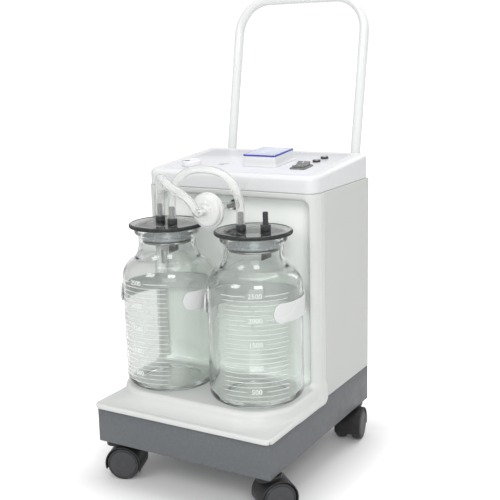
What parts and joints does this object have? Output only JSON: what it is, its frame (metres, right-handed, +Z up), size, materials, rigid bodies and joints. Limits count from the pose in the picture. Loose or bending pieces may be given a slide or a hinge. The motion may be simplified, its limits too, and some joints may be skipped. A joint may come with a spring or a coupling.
{
  "type": "suction pump",
  "caption": "Wheeled medical suction pump with two glass collection jars in a front recess, sloping control panel, inline filter, tubing and a tall push handle.",
  "frame": {"origin": "the middle of the raised flat pad under the base, which stands 59 mm above the floor on its casters", "axes": "+Z up, +X to the operator's right, -Y towards the front where the jars stand"},
  "size_m": [0.3327, 0.4281, 0.7366],
  "materials": {
    "base_grey": "fine-textured dark blue-grey moulding",
    "steel_sheet": "plain zinc-plated sheet",
    "shell_white": "satin off-white moulding",
    "panel_grey": "light grey powder coat",
    "cover_white": "satin white moulding",
    "window": "clear acrylic with a blue edge",
    "dial": "printed white plate",
    "needle": "black",
    "knob": "glossy white",
    "brass": "machined",
    "black": "moulded black",
    "glass": "clear moulded, slight green tint",
    "lid_smoke": "smoky translucent polycarbonate",
    "rubber": "black seal",
    "silicone": "milky translucent silicone",
    "filter": "milky translucent white",
    "clip": "white",
    "handle": "glossy white paint on steel tube",
    "cast_alu": "as cast",
    "caster": "near-black nylon",
    "wheel": "charcoal tread and cap",
    "steel": "ground steel"
  },
  "bodies": {
    "root": {"base_skirt": "base_grey", "chassis_plate": "steel_sheet", "front_shell": "shell_white", "left_side_panel": "panel_grey", "right_side_panel": "panel_grey", "rear_panel": "panel_grey", "power_inlet": "black", "top_cover": "cover_white", "gauge_housing": "cover_white", "gauge_window": "window", "gauge_dial": "dial", "regulator_valve": "brass", "switch_bezel": "black", "fuse_cap_1": "black", "fuse_cap_2": "black", "left_jar": "glass", "right_jar": "glass", "left_lid": "lid_smoke", "right_lid": "lid_smoke", "left_lid_seal": "rubber", "right_lid_seal": "rubber", "left_vacuum_nozzle": "black", "left_link_nozzle": "black", "right_link_nozzle": "black", "right_inlet_nozzle": "black", "float_cage": "filter", "left_clip": "clip", "right_clip": "clip", "vacuum_tube": "silicone", "link_tube": "silicone", "inlet_tube": "silicone", "filter_front": "filter", "filter_back": "filter", "inlet_port": "black", "handle_tube": "handle", "handle_bracket_left": "black", "handle_bracket_right": "black", "pump_motor": "cast_alu", "pump_head": "cast_alu"},
    "needle": {"gauge_needle": "needle"},
    "knob": {"regulator_knob": "knob"},
    "rocker": {"switch_rocker": "black"},
    "float": {"float_ball": "clip"},
    "rotor": {"pump_rotor": "steel"},
    "caster_front_left": {"caster_front_left_hood": "caster", "caster_front_left_axle": "steel"},
    "caster_front_left_wheel_outer": {"caster_front_left_wheel_outer": "wheel"},
    "caster_front_left_wheel_inner": {"caster_front_left_wheel_inner": "wheel"},
    "caster_front_right": {"caster_front_right_hood": "caster", "caster_front_right_axle": "steel"},
    "caster_front_right_wheel_outer": {"caster_front_right_wheel_outer": "wheel"},
    "caster_front_right_wheel_inner": {"caster_front_right_wheel_inner": "wheel"},
    "caster_rear_left": {"caster_rear_left_hood": "caster", "caster_rear_left_axle": "steel"},
    "caster_rear_left_wheel_outer": {"caster_rear_left_wheel_outer": "wheel"},
    "caster_rear_left_wheel_inner": {"caster_rear_left_wheel_inner": "wheel"},
    "caster_rear_right": {"caster_rear_right_hood": "caster", "caster_rear_right_axle": "steel"},
    "caster_rear_right_wheel_outer": {"caster_rear_right_wheel_outer": "wheel"},
    "caster_rear_right_wheel_inner": {"caster_rear_right_wheel_inner": "wheel"}
  },
  "joints": [
    {"name": "needle_sweep", "type": "hinge", "parent": "root", "child": "needle", "pos_m": [0.0276, 0.065, 0.41245], "axis": [0, -0.0786, 0.9969], "range_deg": [-270, 0]},
    {"name": "knob_turn", "type": "hinge", "parent": "root", "child": "knob", "pos_m": [-0.089, 0.02, 0.4089], "axis": [0, -0.0786, 0.9969], "range_deg": [0, 270]},
    {"name": "rocker_tilt", "type": "hinge", "parent": "root", "child": "rocker", "pos_m": [0.097, 0.04096, 0.41105], "axis": [1, 0, 0], "range_deg": [-16, 0]},
    {"name": "float_rise", "type": "slide", "parent": "root", "child": "float", "axis": [0, 0, 1], "range_m": [0, 0.0232]},
    {"name": "rotor_spin", "type": "hinge", "parent": "root", "child": "rotor", "pos_m": [0, 0.092, 0.146], "axis": [1, 0, 0], "continuous": true},
    {"name": "caster_front_left_swivel", "type": "hinge", "parent": "root", "child": "caster_front_left", "pos_m": [-0.1325, -0.153, 0.001], "axis": [0, 0, 1], "continuous": true},
    {"name": "caster_front_left_wheel_outer_spin", "type": "hinge", "parent": "caster_front_left", "child": "caster_front_left_wheel_outer", "pos_m": [-0.11462, -0.16118, -0.034], "axis": [0.342, -0.9397, 0], "continuous": true},
    {"name": "caster_front_left_wheel_inner_spin", "type": "hinge", "parent": "caster_front_left", "child": "caster_front_left_wheel_inner", "pos_m": [-0.12406, -0.13524, -0.034], "axis": [0.342, -0.9397, 0], "continuous": true},
    {"name": "caster_front_right_swivel", "type": "hinge", "parent": "root", "child": "caster_front_right", "pos_m": [0.1325, -0.153, 0.001], "axis": [0, 0, 1], "continuous": true},
    {"name": "caster_front_right_wheel_outer_spin", "type": "hinge", "parent": "caster_front_right", "child": "caster_front_right_wheel_outer", "pos_m": [0.15207, -0.15115, -0.034], "axis": [0.766, -0.6428, 0], "continuous": true},
    {"name": "caster_front_right_wheel_inner_spin", "type": "hinge", "parent": "caster_front_right", "child": "caster_front_right_wheel_inner", "pos_m": [0.13093, -0.1334, -0.034], "axis": [0.766, -0.6428, 0], "continuous": true},
    {"name": "caster_rear_left_swivel", "type": "hinge", "parent": "root", "child": "caster_rear_left", "pos_m": [-0.1325, 0.153, 0.001], "axis": [0, 0, 1], "continuous": true},
    {"name": "caster_rear_left_wheel_outer_spin", "type": "hinge", "parent": "caster_rear_left", "child": "caster_rear_left_wheel_outer", "pos_m": [-0.11312, 0.14973, -0.034], "axis": [0.5736, -0.8192, 0], "continuous": true},
    {"name": "caster_rear_left_wheel_inner_spin", "type": "hinge", "parent": "caster_rear_left", "child": "caster_rear_left_wheel_inner", "pos_m": [-0.12895, 0.17233, -0.034], "axis": [0.5736, -0.8192, 0], "continuous": true},
    {"name": "caster_rear_right_swivel", "type": "hinge", "parent": "root", "child": "caster_rear_right", "pos_m": [0.1325, 0.153, 0.001], "axis": [0, 0, 1], "continuous": true},
    {"name": "caster_rear_right_wheel_outer_spin", "type": "hinge", "parent": "caster_rear_right", "child": "caster_rear_right_wheel_outer", "pos_m": [0.12123, 0.13689, -0.034], "axis": [-0.986, -0.1668, 0], "continuous": true},
    {"name": "caster_rear_right_wheel_inner_spin", "type": "hinge", "parent": "caster_rear_right", "child": "caster_rear_right_wheel_inner", "pos_m": [0.14844, 0.1415, -0.034], "axis": [-0.986, -0.1668, 0], "continuous": true}
  ]
}
